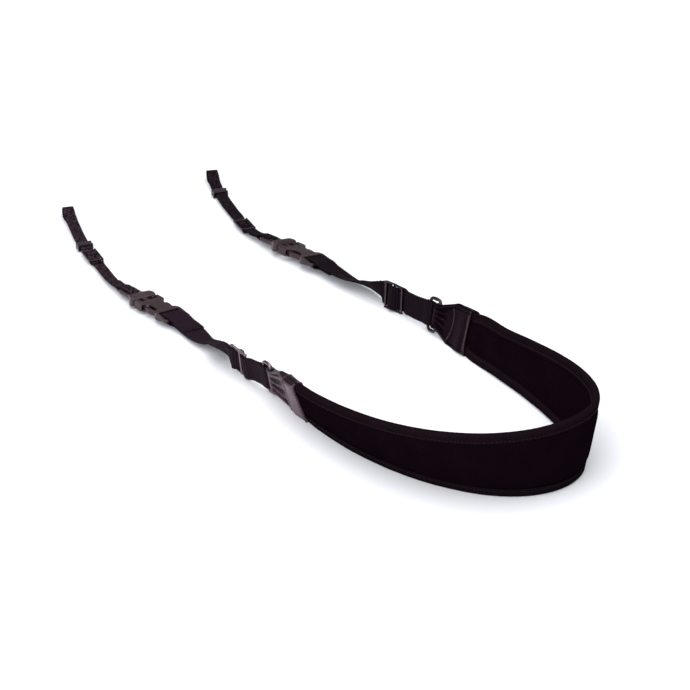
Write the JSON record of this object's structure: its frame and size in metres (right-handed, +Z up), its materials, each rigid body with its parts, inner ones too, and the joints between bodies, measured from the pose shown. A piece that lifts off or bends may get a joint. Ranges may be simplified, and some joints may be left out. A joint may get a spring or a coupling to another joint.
{
  "type": "camera neck strap",
  "caption": "Padded camera neck strap laid out in a U, with leather end tabs, side-release buckles, tri-glide adjusters and narrow end loops for a camera's lugs.",
  "frame": {"origin": "on the table under the middle of the strap's bounding box", "axes": "+X towards the bend of the neck pad, +Y towards the far side of the strap, +Z up from the table it lies on"},
  "size_m": [0.6762, 0.2512, 0.0659],
  "materials": {
    "neoprene": "fine knit faced neoprene",
    "binding_tape": "flat woven tape",
    "leather": "semi-gloss fine grain",
    "webbing": "cross-ribbed webbing",
    "plastic": "satin"
  },
  "bodies": {
    "root": {"pad_core": "neoprene", "pad_binding_upper": "binding_tape", "pad_binding_lower": "binding_tape", "near_leather_tab": "leather", "near_ring": "plastic", "near_wide_webbing": "webbing", "near_wide_triglide": "plastic", "near_buckle_socket": "plastic", "near_buckle_fork": "plastic", "near_narrow_webbing": "webbing", "near_narrow_triglide": "plastic", "near_keeper": "plastic", "far_leather_tab": "leather", "far_ring": "plastic", "far_wide_webbing": "webbing", "far_wide_triglide": "plastic", "far_buckle_socket": "plastic", "far_buckle_fork": "plastic", "far_narrow_webbing": "webbing", "far_narrow_triglide": "plastic", "far_keeper": "plastic"}
  },
  "joints": []
}
